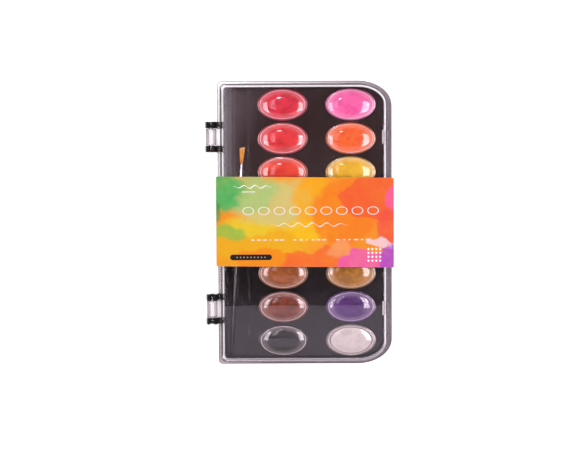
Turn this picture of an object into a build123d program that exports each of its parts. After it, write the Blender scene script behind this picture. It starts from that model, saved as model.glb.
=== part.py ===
from build123d import *
import math
import os

# Watercolour paint set. A black tray holds a deck with sixteen oval pans of paint and a
# trough with one brush. A clear lid closes it on two snap hinges, and a band of card goes
# round the middle. Millimetres. +Z points out of the lid, +Y runs along the case and the
# hinges are at -X. The origin is under the middle of the closed set, where it stands.

# Case, measured over the flange of the lid
case_width = 130.8
case_length = 213.0
front_corner_x = 25.9       # the two corners away from the hinge are quarter ovals
front_corner_y = 18.5
hinge_corner = 3.0

# Lid
flange_hinge = 2.5          # how far the flange stands out of the lid wall, on each side
flange_front = 3.9
flange_end = 2.7
flange_thickness = 1.5
lid_wall = 1.2
lid_roof = 1.5
lid_step = 1.0              # thicker wall above the tray rim, with the seat under it
lid_rise = 6.3              # seat to the top of the roof
roof_round = 2.0
skirt_drop = 4.2            # how far the lid reaches down outside the tray
skirt_gap = 0.8
seat_gap = 0.3

# Tray
tray_height = 9.5
tray_wall = 1.1
tray_floor = 1.2
rim_round = 0.35
foot_height = 0.9
foot_radius = 4.0
foot_x = 44.0
foot_y = 89.0

# Hinges
hinge_y = 64.6              # middle of each hinge along the case
hinge_length = 22.7
lug_length = 4.9
barrel_radius = 4.3
knuckle_radius = 4.0
pin_radius = 1.9
pin_clearance = 0.05
socket_mouth = 3.2          # open top of a socket, narrower than the pin
side_gap = 0.3
arm_thickness = 2.4
arm_gap = 0.35
knuckle_arm = 3.4
open_gap = 0.35             # the open lid with its card stays this far off the table

# Snap clips opposite the hinges
clip_y = 64.2
clip_length = 10.2
clip_thickness = 2.0
clip_gap = 0.35

# Well deck
deck_height = 6.1           # above the tray floor
deck_plate = 1.2
deck_leg = 0.9
deck_gap = 0.3
trough_width = 15.6
trough_floor = 1.1
divider = 1.0
rib_thickness = 1.2

# Pans
pan_length = 37.6
pan_width = 23.6
pan_lip = 1.2
pan_flange = 0.9
pan_depth = 5.2
pan_draft = 1.0
pan_wall = 0.6
pan_floor = 0.8
pan_rows = 8
row_pitch = 25.3
column_pitch = 50.85
pans_shift = 9.0            # middle of the two columns, from the middle of the case
well_clearance = 0.25
fill_drop = 0.6             # edge of the paint, below the top of the pan
paint_crown = 1.8

# Brush
handle_length = 114.0
handle_end_radius = 1.15
handle_belly_radius = 2.45
handle_belly_at = 74.0
handle_neck_radius = 2.25
tenon_length = 8.0
ferrule_length = 30.0
ferrule_throat_at = 19.0    # from the handle, where the ferrule starts to narrow
ferrule_throat_radius = 2.0
ferrule_mouth_radius = 1.35
ferrule_wall = 0.3
mouth_depth = 2.5
bristle_length = 12.0
bristle_slant = 0.8         # one side of the tip is longer than the other
bristle_rings = 10
bristle_twist = 1 / 3       # each ring is turned on by this share of a hair's place
bristle_corners = (0.5, 2.6, 4.7)   # the three corners of a hair, as angles
bristle_thickness = 0.062
tip_thickness = 0.042
tuft_spread_x = 2.0         # the tuft fans out to this many times its root
tuft_spread_z = 0.85
plug_length = 1.2
brush_lean = 3.34
brush_end_gap = 0.6
brush_side_gap = 2.7
brush_floor_gap = 0.25

# Card sleeve
sleeve_length = 66.7
sleeve_y = 0.95
sleeve_skew = 0.62          # its cut edges aren't quite square
card = 0.35
sleeve_gap = 0.3
crease = 0.7
tear_drop = 0.55            # height of the tear line below the hinge line
tear_gap = 0.3

# Levels, counted up from the table
floor_level = foot_height + tray_floor
rim_level = foot_height + tray_height
seat_level = rim_level + seat_gap
lid_level = seat_level + lid_rise
flange_level = rim_level - skirt_drop
deck_level = floor_level + deck_height
trough_level = floor_level + trough_floor
sleeve_level = lid_level + sleeve_gap + card
hinge_level = (sleeve_level + open_gap) / 2
tear_level = hinge_level - tear_drop

# Insets from the edge of the flange: hinge side, front side, ends
flange_edge = (0, 0, 0)
lid_outer = (flange_hinge, flange_front, flange_end)


def inward(insets, step):
    return tuple(side + step for side in insets)


skirt_inner = inward(lid_outer, lid_wall)
wall_inner = inward(skirt_inner, lid_step)
tray_outer = inward(skirt_inner, skirt_gap)
tray_inner = inward(tray_outer, tray_wall)
deck_outer = inward(tray_inner, deck_gap)
deck_inner = inward(deck_outer, deck_leg)


def left_of(insets):
    return insets[0] - case_width / 2


def right_of(insets):
    return case_width / 2 - insets[1]


def end_of(insets):
    return case_length / 2 - insets[2]


hinge_x = -case_width / 2 - barrel_radius - side_gap
hinge_reach = barrel_radius * 2 + side_gap
trough_left = left_of(deck_inner)
trough_right = trough_left + trough_width
trough_edge = trough_right + divider
pan_columns = {"left": pans_shift - column_pitch / 2, "right": pans_shift + column_pitch / 2}


def outline(insets):
    # The case seen from above: square at the hinges, quarter ovals at the front corners.
    left, right, end = left_of(insets), right_of(insets), end_of(insets)
    corner_x = front_corner_x - insets[1]
    corner_y = front_corner_y - insets[2]
    edges = [
        Line((left + hinge_corner, -end), (right - corner_x, -end)),
        EllipticalCenterArc((right - corner_x, corner_y - end), corner_x, corner_y, -90, arc_size=90),
        Line((right, corner_y - end), (right, end - corner_y)),
        EllipticalCenterArc((right - corner_x, end - corner_y), corner_x, corner_y, 0, arc_size=90),
        Line((right - corner_x, end), (left + hinge_corner, end)),
        CenterArc((left + hinge_corner, end - hinge_corner), hinge_corner, 90, 90),
        Line((left, end - hinge_corner), (left, hinge_corner - end)),
        CenterArc((left + hinge_corner, hinge_corner - end), hinge_corner, 180, 90),
    ]
    return make_face(edges)


def slab(insets, bottom, top):
    return extrude(Pos(0, 0, bottom) * outline(insets), amount=top - bottom)


def block(low, high):
    size = [high[i] - low[i] for i in range(3)]
    centre = [(high[i] + low[i]) / 2 for i in range(3)]
    return Pos(*centre) * Box(*size)


def cross_bar(radius, length, x, y, z):
    # A round bar along Y.
    return Pos(x, y, z) * Rot(90, 0, 0) * Cylinder(radius, length)


def oval(profile):
    # A half section in X and Z is turned about Z, then stretched to the pan's proportions.
    return scale(revolve(Plane.XZ * profile, Axis.Z), by=(pan_length / pan_width, 1, 1))


def hinge_lug(y):
    # An arm under the flange carries a socket, open at the top for the pin to snap in.
    arm_top = flange_level - arm_gap
    low = (hinge_x, y - lug_length / 2, arm_top - arm_thickness)
    high = (left_of(tray_inner), y + lug_length / 2, arm_top)
    arm = block(low, high) - slab(tray_inner, low[2], arm_top)
    barrel = cross_bar(barrel_radius, lug_length, hinge_x, y, hinge_level)
    bore = cross_bar(pin_radius + pin_clearance, lug_length, hinge_x, y, hinge_level)
    half = socket_mouth / 2
    mouth_low = (hinge_x - half, y - lug_length / 2, hinge_level)
    mouth_high = (hinge_x + half, y + lug_length / 2, hinge_level + barrel_radius)
    return arm + barrel - bore - block(mouth_low, mouth_high)


def lug_places():
    from_middle = (hinge_length - lug_length) / 2
    return [side * hinge_y + step for side in (-1, 1) for step in (-from_middle, from_middle)]


def make_tray():
    tray = slab(tray_outer, foot_height, rim_level) - slab(tray_inner, floor_level, rim_level)
    tray = fillet(tray.edges().group_by(Axis.Z)[-1], rim_round)
    for x in (-foot_x, foot_x):
        for y in (-foot_y, foot_y):
            tray += Pos(x, y, foot_height / 2) * Cylinder(foot_radius, foot_height)
    for y in lug_places():
        tray += hinge_lug(y)
    notch_x = right_of(tray_inner) - clip_gap
    for y in (-clip_y, clip_y):
        half = clip_length / 2 + clip_gap
        low = (notch_x, y - half, deck_level)
        tray -= block(low, (right_of(tray_outer) + skirt_gap / 2, y + half, seat_level))
    return tray


def well_places():
    first = -(pan_rows - 1) / 2 * row_pitch
    for side, x in pan_columns.items():
        for row in range(pan_rows):
            yield side, row + 1, x, -first - row * row_pitch


def half_of_insert(low_x, high_x, insets, bottom, top):
    # A stretch of a slab between two places across the case.
    side = end_of(flange_edge)
    return slab(insets, bottom, top) & block((low_x, -side, 0), (high_x, side, lid_level))


def make_trough():
    # The channel beside the hinges: floor, divider and low walls.
    far = left_of(flange_edge)
    channel = half_of_insert(far, trough_edge, deck_outer, floor_level, deck_level)
    return channel - half_of_insert(far, trough_right, deck_inner, trough_level, deck_level)


def make_deck():
    # A plate on legs, with a rib between its two columns of wells.
    far = right_of(flange_edge)
    under = deck_level - deck_plate
    deck = half_of_insert(trough_edge, far, deck_outer, floor_level, deck_level)
    deck -= half_of_insert(trough_edge + deck_leg, far, deck_inner, floor_level, under)
    rib_low = (pans_shift - rib_thickness / 2, -end_of(deck_inner), floor_level)
    deck += block(rib_low, (pans_shift + rib_thickness / 2, end_of(deck_inner), under))
    radius = pan_width / 2 - pan_lip + well_clearance
    well = oval(section([(0, -deck_height), (radius, -deck_height), (radius, 0), (0, 0)]))
    for _, _, x, y in well_places():
        deck -= Pos(x, y, deck_level) * well
    return deck


def section(points):
    return make_face(Polyline(*points, close=True))


def pan_inside(height):
    # Inner half width of a pan at a height above the seat of its flange.
    top = pan_width / 2 - pan_lip - pan_wall
    return top - pan_draft * (pan_flange - height) / (pan_flange + pan_depth)


def make_pan():
    body = pan_width / 2 - pan_lip
    bottom = pan_floor - pan_depth
    return oval(section([
        (0, -pan_depth), (body - pan_draft, -pan_depth), (body, 0), (pan_width / 2, 0),
        (pan_width / 2, pan_flange), (pan_inside(pan_flange), pan_flange),
        (pan_inside(bottom), bottom), (0, bottom),
    ]))


def make_paint():
    bottom = pan_floor - pan_depth
    edge = pan_flange - fill_drop
    reach = pan_inside(edge)
    sphere = (reach**2 + paint_crown**2) / (2 * paint_crown)
    halfway = edge + paint_crown - sphere + math.sqrt(sphere**2 - reach**2 / 4)
    outline_of_half = [
        Line((0, bottom), (pan_inside(bottom), bottom)),
        Line((pan_inside(bottom), bottom), (reach, edge)),
        ThreePointArc((reach, edge), (reach / 2, halfway), (0, edge + paint_crown)),
        Line((0, edge + paint_crown), (0, bottom)),
    ]
    return oval(make_face(outline_of_half))


def make_lid():
    lid = slab(lid_outer, flange_level, lid_level)
    lid = fillet(lid.edges().group_by(Axis.Z)[-1], roof_round)
    lid += slab(flange_edge, flange_level, flange_level + flange_thickness)
    lid -= slab(skirt_inner, flange_level, seat_level)
    lid -= slab(wall_inner, seat_level, lid_level - lid_roof)
    gap_to_lug = hinge_length / 2 - lug_length - side_gap
    pin_reach = hinge_length / 2 - side_gap
    for y in (-hinge_y, hinge_y):
        lid += cross_bar(knuckle_radius, gap_to_lug * 2, hinge_x, y, hinge_level)
        lid += cross_bar(pin_radius, pin_reach * 2, hinge_x, y, hinge_level)
        low = (hinge_x, y - gap_to_lug, flange_level)
        lid += block(low, (left_of(skirt_inner), y + gap_to_lug, flange_level + knuckle_arm))
    inner = right_of(tray_inner) - clip_gap
    for y in (-clip_y, clip_y):
        low = (inner, y - clip_length / 2, deck_level + clip_gap)
        lid += block(low, (right_of(skirt_inner), y + clip_length / 2, seat_level + clip_thickness))
    return lid


def brush_start():
    # The end of the handle, on the axis of the brush.
    x = trough_left + brush_side_gap
    y = brush_end_gap - end_of(deck_inner)
    z = trough_level + brush_floor_gap + handle_belly_radius
    return Pos(x, y, z) * Rot(0, 0, -brush_lean)


def turned(edges):
    return revolve(make_face(edges), Axis.Y)


def make_handle():
    # Half section in X and Y, from the round end to the tenon in the ferrule.
    tenon = handle_neck_radius - ferrule_wall
    top = handle_length + tenon_length
    nose = handle_end_radius * math.sin(math.radians(45))
    taper = (handle_belly_radius - handle_end_radius) / handle_belly_at
    return turned([
        ThreePointArc((0, 0), (nose, handle_end_radius - nose), (handle_end_radius, handle_end_radius)),
        Spline((handle_end_radius, handle_end_radius), (handle_belly_radius, handle_belly_at),
               (handle_neck_radius, handle_length), tangents=[(taper, 1), (0, 1)]),
        Line((handle_neck_radius, handle_length), (tenon, handle_length)),
        Line((tenon, handle_length), (tenon, top)),
        Line((tenon, top), (0, top)),
        Line((0, top), (0, 0)),
    ])


def make_ferrule():
    mouth = ferrule_mouth_radius - ferrule_wall
    points = [
        (handle_neck_radius, 0), (ferrule_throat_radius + ferrule_wall / 2, ferrule_throat_at),
        (ferrule_mouth_radius, ferrule_length), (mouth, ferrule_length),
        (mouth, ferrule_length - mouth_depth), (ferrule_throat_radius - ferrule_wall, ferrule_throat_at),
        (handle_neck_radius - ferrule_wall, tenon_length), (handle_neck_radius - ferrule_wall, 0),
    ]
    return Pos(0, handle_length, 0) * revolve(section(points), Axis.Y)


def strand_face(x, y, z, size):
    corners = [(x + size * math.cos(a), y, z + size * math.sin(a)) for a in bristle_corners]
    return make_face(Polyline(*corners, close=True))


def make_bristles():
    # Rings of straight hairs fan out from a plug that fills the mouth of the ferrule.
    plug_radius = ferrule_mouth_radius - ferrule_wall
    ring_step = (plug_radius - bristle_thickness) / bristle_rings
    plug = Pos(0, -plug_length / 2, 0) * Rot(90, 0, 0) * Cylinder(plug_radius, plug_length)
    hairs = []
    for ring in range(bristle_rings + 1):
        count = max(1, 6 * ring)
        for place in range(count):
            angle = math.tau * (place + ring * bristle_twist) / count
            x = ring * ring_step * math.cos(angle)
            z = ring * ring_step * math.sin(angle)
            tip = bristle_length + bristle_slant * x / plug_radius / 2
            root = strand_face(x, -plug_length / 2, z, bristle_thickness / 2)
            end = strand_face(x * tuft_spread_x, tip, z * tuft_spread_z, tip_thickness / 2)
            hairs.append(loft([root, end], ruled=True).solid())
    return Pos(0, handle_length + ferrule_length, 0) * plug.solid().fuse(*hairs)


def make_sleeve():
    # A tube of card round the closed case, cut slightly out of square.
    width = case_width + 2 * (sleeve_gap + card)
    bottom = foot_height - sleeve_gap - card
    height = sleeve_level - bottom
    outer = RectangleRounded(width, height, crease)
    inner = RectangleRounded(width - 2 * card, height - 2 * card, crease - card)
    ring = Pos(0, 0, (sleeve_level + bottom) / 2) * (Plane.XZ * (outer - inner))
    tube = extrude(ring, amount=sleeve_length, both=True)
    keep = Rot(0, 0, -sleeve_skew) * Box(width * 2, sleeve_length, height * 4)
    return Pos(0, sleeve_y, 0) * (tube & keep)


def cut_sleeve(sleeve):
    # The tear line along both sides makes a front half and a back half.
    far = case_length
    below = tear_level - tear_gap / 2
    above = tear_level + tear_gap / 2
    front = sleeve & block((-far, -far, above), (far, far, sleeve_level + card))
    back = sleeve & block((-far, -far, -card), (far, far, below))
    return front, back


def make_pieces():
    pieces = {"tray": make_tray(), "brush_trough": make_trough(), "well_deck": make_deck()}
    pieces["lid"] = make_lid()
    pan = make_pan()
    paint = make_paint()
    for side, row, x, y in well_places():
        place = Pos(x, y, deck_level)
        pieces[f"pan_{side}_{row}"] = place * pan
        pieces[f"paint_{side}_{row}"] = place * paint
    start = brush_start()
    pieces["brush_handle"] = start * make_handle()
    pieces["brush_ferrule"] = start * make_ferrule()
    pieces["brush_bristles"] = start * make_bristles()
    pieces["sleeve_front"], pieces["sleeve_back"] = cut_sleeve(make_sleeve())
    return pieces


os.makedirs("parts", exist_ok=True)
to_origin = Pos((hinge_reach - sleeve_gap - card) / 2, 0, 0)
for name, piece in make_pieces().items():
    export_step(to_origin * piece, f"parts/{name}.step")
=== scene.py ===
import math
import random
import bpy
import bmesh
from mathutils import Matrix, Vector, noise


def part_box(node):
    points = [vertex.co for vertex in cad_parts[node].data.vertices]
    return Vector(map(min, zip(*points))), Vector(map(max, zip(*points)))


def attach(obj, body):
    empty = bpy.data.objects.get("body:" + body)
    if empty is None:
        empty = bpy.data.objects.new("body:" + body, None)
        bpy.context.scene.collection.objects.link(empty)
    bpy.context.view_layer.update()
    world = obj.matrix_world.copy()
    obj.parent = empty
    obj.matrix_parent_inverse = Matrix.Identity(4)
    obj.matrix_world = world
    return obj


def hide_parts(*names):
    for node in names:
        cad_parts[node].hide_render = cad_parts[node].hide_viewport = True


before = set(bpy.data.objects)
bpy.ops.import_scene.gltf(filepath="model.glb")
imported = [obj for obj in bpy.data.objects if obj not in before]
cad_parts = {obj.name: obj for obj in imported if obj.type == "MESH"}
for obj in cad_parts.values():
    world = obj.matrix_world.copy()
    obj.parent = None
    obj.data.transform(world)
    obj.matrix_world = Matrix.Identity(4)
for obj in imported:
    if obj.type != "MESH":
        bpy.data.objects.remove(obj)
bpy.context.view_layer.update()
mm = 0.001
print("frame loaded")


# Small helpers for places and meshes

def centreOf(nodeName):
    low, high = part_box(nodeName)
    return (Vector(low) + Vector(high)) / 2


def metres(lengths):
    return tuple(length * mm for length in lengths)


def addObject(name, data):
    made = bpy.data.objects.new(name, data)
    bpy.context.scene.collection.objects.link(made)
    return made


def setMaterial(mesh, material):
    mesh.materials.clear()
    mesh.materials.append(material)


def faceOutward(mesh):
    work = bmesh.new()
    work.from_mesh(mesh)
    bmesh.ops.recalc_face_normals(work, faces=work.faces)
    work.to_mesh(mesh)
    work.free()


def meshFrom(verts, faces):
    mesh = bpy.data.meshes.new("solid")
    mesh.from_pydata([tuple(v) for v in verts], [], faces)
    faceOutward(mesh)
    return mesh


def dress(name, mesh, material, body, replaced=(), sharpAngle=35):
    mesh.name = name
    mesh.shade_smooth()
    mesh.set_sharp_from_angle(angle=math.radians(sharpAngle))
    setMaterial(mesh, material)
    piece = addObject(name, mesh)
    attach(piece, body)
    if replaced:
        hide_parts(*replaced)
    return piece


def bridgeRings(rings, closeStart=True, closeEnd=True):
    count = len(rings[0])
    verts = [point for ring in rings for point in ring]
    faces = []
    for r in range(len(rings) - 1):
        for i in range(count):
            j = (i + 1) % count
            faces.append((r * count + i, r * count + j, (r + 1) * count + j, (r + 1) * count + i))
    if closeStart:
        faces.append(tuple(range(count)))
    if closeEnd:
        last = (len(rings) - 1) * count
        faces.append(tuple(last + i for i in range(count)))
    return verts, faces


def arcSteps(centre, radius, start, end, steps):
    angles = [math.radians(start + (end - start) * i / steps) for i in range(steps + 1)]
    return [(centre[0] + radius * math.cos(a), centre[1] + radius * math.sin(a)) for a in angles]


def spread(count, step):
    # Offsets of a row of marks from its middle
    return [(i - (count - 1) / 2) * step for i in range(count)]


# Small helpers for node trees

def connect(tree, sockets, values):
    # What comes out of another node is linked, and a plain value is typed in
    for key, value in values.items():
        if isinstance(value, bpy.types.NodeSocket):
            tree.links.new(value, sockets[key])
        else:
            sockets[key].default_value = value


def place(tree, kind, settings=None, inputs=None):
    made = tree.nodes.new("ShaderNode" + kind)
    for name, value in (settings or {}).items():
        setattr(made, name, value)
    connect(tree, made.inputs, inputs or {})
    return made


def maths(tree, operation, first, second=0.0, clamp=False):
    made = place(tree, "Math", {"operation": operation, "use_clamp": clamp}, {0: first, 1: second})
    return made.outputs[0]


def plus(tree, first, second, clamp=False):
    return maths(tree, "ADD", first, second, clamp)


def minus(tree, first, second, clamp=False):
    return maths(tree, "SUBTRACT", first, second, clamp)


def times(tree, first, second, clamp=False):
    return maths(tree, "MULTIPLY", first, second, clamp)


def vectorMaths(tree, operation, first, second=(0.0, 0.0, 0.0)):
    made = place(tree, "VectorMath", {"operation": operation}, {0: first, 1: second})
    return made.outputs["Value" if operation in ("LENGTH", "DOT_PRODUCT") else "Vector"]


def splitVector(tree, value):
    return place(tree, "SeparateXYZ", None, {"Vector": value}).outputs


def remap(tree, value, low, high, toLow=0.0, toHigh=1.0, smooth=False):
    settings = {"interpolation_type": "SMOOTHSTEP" if smooth else "LINEAR", "clamp": True}
    inputs = {"Value": value, "From Min": low, "From Max": high, "To Min": toLow, "To Max": toHigh}
    return place(tree, "MapRange", settings, inputs).outputs["Result"]


def blendColours(tree, factor, first, second, kind="MIX"):
    settings = {"data_type": "RGBA", "blend_type": kind, "clamp_factor": True}
    return place(tree, "Mix", settings, {0: factor, 6: first, 7: second}).outputs[2]


def objectSpot(tree):
    return place(tree, "TexCoord").outputs["Object"]


def stretchedSpot(tree, scale, turn=0.0):
    inputs = {"Vector": objectSpot(tree), "Rotation": (0.0, 0.0, turn), "Scale": scale}
    return place(tree, "Mapping", None, inputs).outputs["Vector"]


def noisePattern(tree, spot, inputs, output="Fac"):
    settings = {"noise_dimensions": "4D" if "W" in inputs else "3D"}
    return place(tree, "TexNoise", settings, {"Vector": spot, **inputs}).outputs[output]


def tint(red, green, blue):
    linear = [c / 255 / 12.92 if c <= 10 else ((c / 255 + 0.055) / 1.055) ** 2.4
              for c in (red, green, blue)]
    return (*linear, 1.0)


def makeGroup(name, inputs, outputs):
    group = bpy.data.node_groups.new(name, "ShaderNodeTree")
    for socketName, kind, default in inputs:
        socket = group.interface.new_socket(socketName, in_out="INPUT", socket_type="NodeSocket" + kind)
        socket.default_value = default
    for socketName, kind in outputs:
        group.interface.new_socket(socketName, in_out="OUTPUT", socket_type="NodeSocket" + kind)
    return group, group.nodes.new("NodeGroupInput").outputs, group.nodes.new("NodeGroupOutput").inputs


def useGroup(tree, group, inputs):
    return place(tree, "Group", {"node_tree": group}, inputs).outputs


# Shared effects

toneBand = (0.3, 0.7)      # most values of a noise lie between these
skinEffect = {"broadScale": 45.0, "fineScale": 1400.0, "broadShare": 0.75, "fineShare": 0.25,
              "scratchStretch": (900.0, 40.0, 300.0), "scratchTurn": 0.6, "scratchBand": (0.66, 0.74),
              "cloudRoughness": 0.16, "scratchRoughness": 0.18, "scratchDepth": 0.05}


def makeMouldedSkin():
    look = skinEffect
    group, given, result = makeGroup(
        "mouldedSkin",
        [("Scale", "Float", 1.0), ("Scratch Amount", "Float", 0.5)],
        [("Tone", "Float"), ("Roughness Shift", "Float"), ("Height", "Float")])
    spot = objectSpot(group)
    broad = noisePattern(group, spot, {
        "Scale": times(group, given["Scale"], look["broadScale"]), "Detail": 3.0})
    fine = noisePattern(group, spot, {
        "Scale": times(group, given["Scale"], look["fineScale"]), "Detail": 2.0, "Roughness": 0.6})
    across = stretchedSpot(group, look["scratchStretch"], look["scratchTurn"])
    lines = noisePattern(group, across, {"Scale": 1.0, "Detail": 4.0})
    scratch = times(group, remap(group, lines, *look["scratchBand"]), given["Scratch Amount"])
    clouds = times(group, minus(group, broad, 0.5), look["cloudRoughness"])
    connect(group, result, {
        "Tone": plus(group, times(group, broad, look["broadShare"]), times(group, fine, look["fineShare"])),
        "Roughness Shift": plus(group, clouds, times(group, scratch, look["scratchRoughness"])),
        "Height": minus(group, broad, times(group, scratch, look["scratchDepth"]))})
    return group


# An edge shows where the rounded normal turns this far from the plain one
wearEffect = {"samples": 6, "edgeBand": (0.985, 0.90), "patchBand": (0.42, 0.62)}


def makeEdgeWear():
    group, given, result = makeGroup(
        "edgeWear", [("Amount", "Float", 0.5), ("Scale", "Float", 300.0), ("Width", "Float", 0.0004)],
        [("Mask", "Float"), ("Normal", "Vector")])
    bevel = place(group, "Bevel", {"samples": wearEffect["samples"]}, {"Radius": given["Width"]})
    rounded = bevel.outputs["Normal"]
    plain = place(group, "NewGeometry").outputs["Normal"]
    edge = remap(group, vectorMaths(group, "DOT_PRODUCT", rounded, plain), *wearEffect["edgeBand"])
    patches = noisePattern(group, objectSpot(group), {"Scale": given["Scale"], "Detail": 4.0})
    rubbed = times(group, edge, remap(group, patches, *wearEffect["patchBand"]))
    connect(group, result, {"Mask": times(group, rubbed, given["Amount"]), "Normal": rounded})
    return group


swirlEffect = {"stretch": (0.75, 1.0, 0.3), "distortion": 1.6, "deepBand": (0.44, 0.60), "fineScale": 7.0,
               "fineHeight": 0.12}


def makePaintSwirl():
    look = swirlEffect
    group, given, result = makeGroup(
        "paintSwirl", [("Seed", "Float", 0.0), ("Scale", "Float", 130.0)],
        [("Mask", "Float"), ("Fine", "Float"), ("Height", "Float")])
    flat = stretchedSpot(group, look["stretch"])
    broad = noisePattern(group, flat, {"W": given["Seed"], "Scale": given["Scale"], "Detail": 2.0,
                                       "Roughness": 0.45, "Distortion": look["distortion"]})
    fine = noisePattern(group, flat, {
        "W": given["Seed"], "Scale": times(group, given["Scale"], look["fineScale"]), "Detail": 4.0,
        "Roughness": 0.6})
    connect(group, result, {
        "Mask": remap(group, broad, *look["deepBand"], smooth=True), "Fine": fine,
        "Height": plus(group, broad, times(group, fine, look["fineHeight"]))})
    return group


paperEffect = {"fibreScale": 2200.0, "fibreShare": 0.4, "cloudScale": 260.0, "cloudShare": 0.6}


def makePaperGrain():
    look = paperEffect
    group, given, result = makeGroup("paperGrain", [("Scale", "Float", 1.0)],
                                     [("Tone", "Float"), ("Height", "Float")])
    spot = objectSpot(group)
    fibre = noisePattern(group, spot, {
        "Scale": times(group, given["Scale"], look["fibreScale"]), "Detail": 3.0, "Roughness": 0.7})
    cloud = noisePattern(group, spot, {
        "Scale": times(group, given["Scale"], look["cloudScale"]), "Detail": 5.0, "Roughness": 0.6})
    fibres, clouds = times(group, fibre, look["fibreShare"]), times(group, cloud, look["cloudShare"])
    connect(group, result, {"Tone": plus(group, fibres, clouds), "Height": fibre})
    return group


def flatSpot(group, centre):
    # Where a point lies from a centre, seen straight down
    away = vectorMaths(group, "SUBTRACT", objectSpot(group), centre)
    return vectorMaths(group, "MULTIPLY", away, (1.0, 1.0, 0.0))


washEffect = {"wobbleScale": 42.0, "wobbleReach": 30.0 * mm, "rim": 1.2, "poolScale": 120.0,
              "poolSeed": 7.0, "poolBand": (0.25, 0.7), "poolShare": (0.72, 1.0)}


def makeWashBloom():
    look = washEffect
    group, given, result = makeGroup(
        "washBloom",
        [("Under", "Color", (1, 1, 1, 1)), ("Wash", "Color", (1, 0, 0, 1)), ("Centre", "Vector", (0, 0, 0)),
         ("Reach", "Vector", (0.02, 0.02, 1.0)), ("Softness", "Float", 0.5), ("Strength", "Float", 0.9),
         ("Seed", "Float", 0.0)],
        [("Color", "Color")])
    spot = objectSpot(group)
    wobble = noisePattern(group, spot, {"W": given["Seed"], "Scale": look["wobbleScale"], "Detail": 5.0,
                                        "Roughness": 0.58}, "Color")
    moved = vectorMaths(group, "MULTIPLY", vectorMaths(group, "SUBTRACT", wobble, (0.5, 0.5, 0.5)),
                        (look["wobbleReach"], look["wobbleReach"], 0.0))
    flat = vectorMaths(group, "ADD", flatSpot(group, given["Centre"]), moved)
    away = vectorMaths(group, "LENGTH", vectorMaths(group, "DIVIDE", flat, given["Reach"]))
    mask = remap(group, away, 1.0, minus(group, 1.0, given["Softness"]), smooth=True)
    rim = times(group, times(group, mask, minus(group, 1.0, mask)), look["rim"])   # stronger at its edge
    pool = noisePattern(group, spot, {
        "W": plus(group, given["Seed"], look["poolSeed"]), "Scale": look["poolScale"], "Detail": 4.0,
        "Roughness": 0.55})
    body = times(group, mask, remap(group, pool, *look["poolBand"], *look["poolShare"]))
    cover = times(group, plus(group, body, rim, True), given["Strength"], True)
    connect(group, result, {"Color": blendColours(group, cover, given["Under"], given["Wash"])})
    return group


# How soft the edges of the print are. A ring's is a share of its size
printEffect = {"barEdge": 0.06 * mm, "waveEdge": 0.08 * mm, "ringEdge": 0.02, "wavePress": (0.7, 0.3)}
printInputs = [("Under", "Color", (1, 1, 1, 1)), ("Ink", "Color", (1, 1, 1, 1)),
               ("Centre", "Vector", (0, 0, 0))]


def layInk(group, given, result, away, edge):
    cover = remap(group, away, edge, -edge)
    connect(group, result, {"Color": blendColours(group, cover, given["Under"], given["Ink"])})
    return group


def makePrintedBar():
    group, given, result = makeGroup(
        "printedBar",
        printInputs + [("Half Size", "Vector", (0.01, 0.001, 1.0)), ("Corner", "Float", 0.0005)],
        [("Color", "Color")])
    corner = place(group, "CombineXYZ", None, {"X": given["Corner"], "Y": given["Corner"]})
    inner = vectorMaths(group, "SUBTRACT", given["Half Size"], corner.outputs["Vector"])
    flat = vectorMaths(group, "ABSOLUTE", flatSpot(group, given["Centre"]))
    beyond = vectorMaths(group, "MAXIMUM", vectorMaths(group, "SUBTRACT", flat, inner))
    outside = vectorMaths(group, "LENGTH", vectorMaths(group, "MULTIPLY", beyond, (1.0, 1.0, 0.0)))
    away = minus(group, outside, given["Corner"])
    return layInk(group, given, result, away, printEffect["barEdge"])


def makePrintedRing():
    group, given, result = makeGroup(
        "printedRing",
        printInputs + [("Half Size", "Vector", (0.004, 0.003, 1.0)), ("Line", "Float", 0.15)],
        [("Color", "Color")])
    flat = vectorMaths(group, "DIVIDE", flatSpot(group, given["Centre"]), given["Half Size"])
    halfLine = times(group, given["Line"], 0.5)
    offLine = minus(group, vectorMaths(group, "LENGTH", flat), minus(group, 1.0, halfLine))
    away = minus(group, maths(group, "ABSOLUTE", offLine), halfLine)
    return layInk(group, given, result, away, printEffect["ringEdge"])


def makePrintedWave():
    group, given, result = makeGroup(
        "printedWave",
        printInputs + [("Half Length", "Float", 0.02), ("Swing", "Float", 0.001), ("Turns", "Float", 5.0),
                       ("Line", "Float", 0.0004)],
        [("Color", "Color")])
    parts = splitVector(group, flatSpot(group, given["Centre"]))
    share = maths(group, "DIVIDE", parts["X"], given["Half Length"])
    fade = minus(group, 1.0, times(group, share, share), True)
    thin = maths(group, "SQRT", fade)
    angle = times(group, times(group, share, given["Turns"]), math.pi)
    crest = times(group, times(group, maths(group, "SINE", angle), given["Swing"]), thin)
    steady, swelling = printEffect["wavePress"]
    press = plus(group, steady, times(group, maths(group, "COSINE", angle), swelling))
    width = times(group, times(group, given["Line"], press), thin)
    away = minus(group, maths(group, "ABSOLUTE", minus(group, parts["Y"], crest)), width)
    beyond = maths(group, "LESS_THAN", fade, 1e-7)
    return layInk(group, given, result, plus(group, away, beyond), printEffect["waveEdge"])


mouldedSkin = makeMouldedSkin()
edgeWear = makeEdgeWear()
paintSwirl = makePaintSwirl()
paperGrain = makePaperGrain()
washBloom = makeWashBloom()
printedBar = makePrintedBar()
printedRing = makePrintedRing()
printedWave = makePrintedWave()
print("shared effects made")


# Materials. A bump is its strength and its height

def newMaterial(name, sockets):
    material = bpy.data.materials.new(name)
    material.use_nodes = True
    tree = material.node_tree
    shader = tree.nodes["Principled BSDF"]
    connect(tree, shader.inputs, sockets)
    return material, tree, shader


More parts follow.
